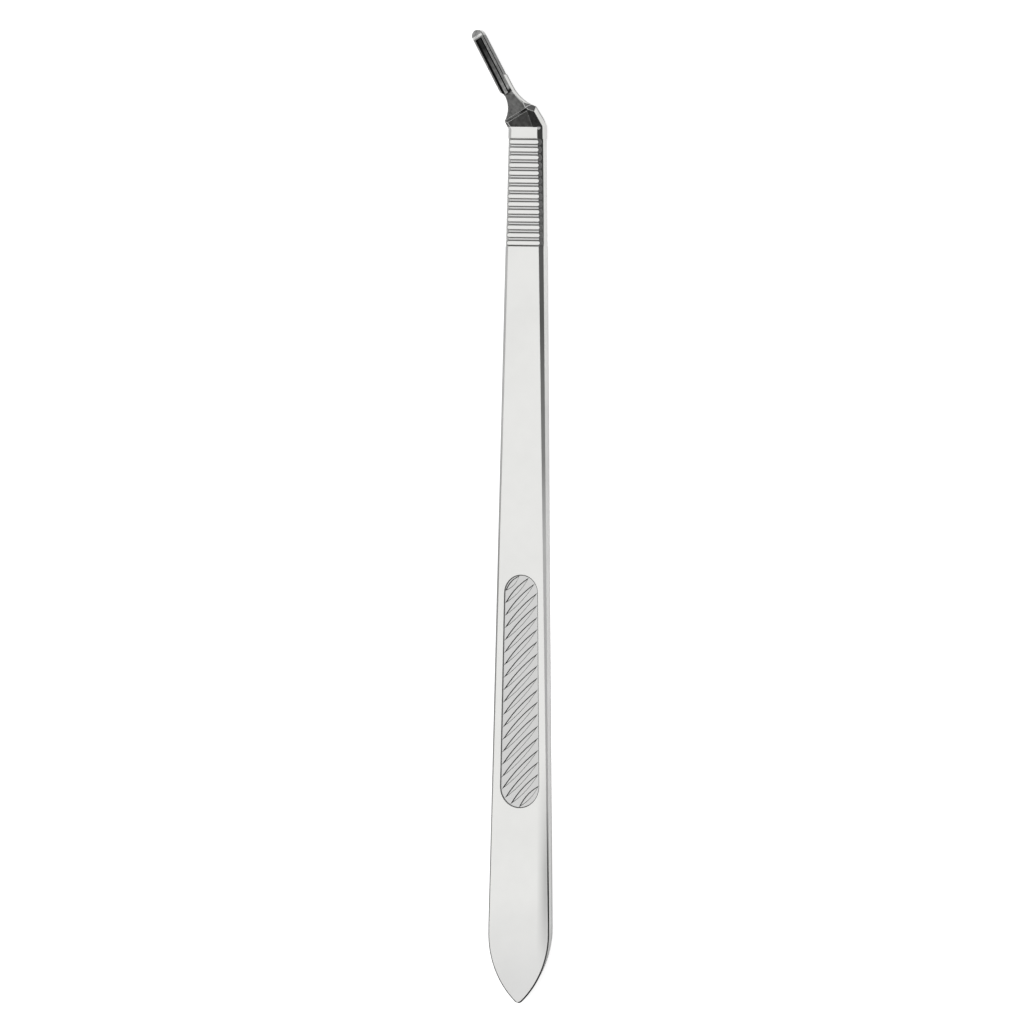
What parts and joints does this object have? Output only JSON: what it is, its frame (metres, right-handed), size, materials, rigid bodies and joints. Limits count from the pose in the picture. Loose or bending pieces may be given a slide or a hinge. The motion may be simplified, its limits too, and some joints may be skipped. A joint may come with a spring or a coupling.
{
  "type": "scalpel handle",
  "caption": "Long slim flat scalpel handle with a pointed tail, a fluted grip panel, cross ribs for the thumb and a blade fitting set off at an angle.",
  "frame": {"origin": "on the flat back face, on the centre line of the handle, at the widest point, where the pointed tail begins", "axes": "+Y along the handle towards the blade end, +Z out of the front face, which carries the blade fitting's boss; +X to the right with the blade end up and the front face towards the viewer, so the fitting turns aside towards -X"},
  "size_m": [0.0204, 0.2101, 0.0037],
  "materials": {
    "stainless_steel": "satin"
  },
  "bodies": {
    "root": {"scalpel_handle": "stainless_steel"}
  },
  "joints": []
}
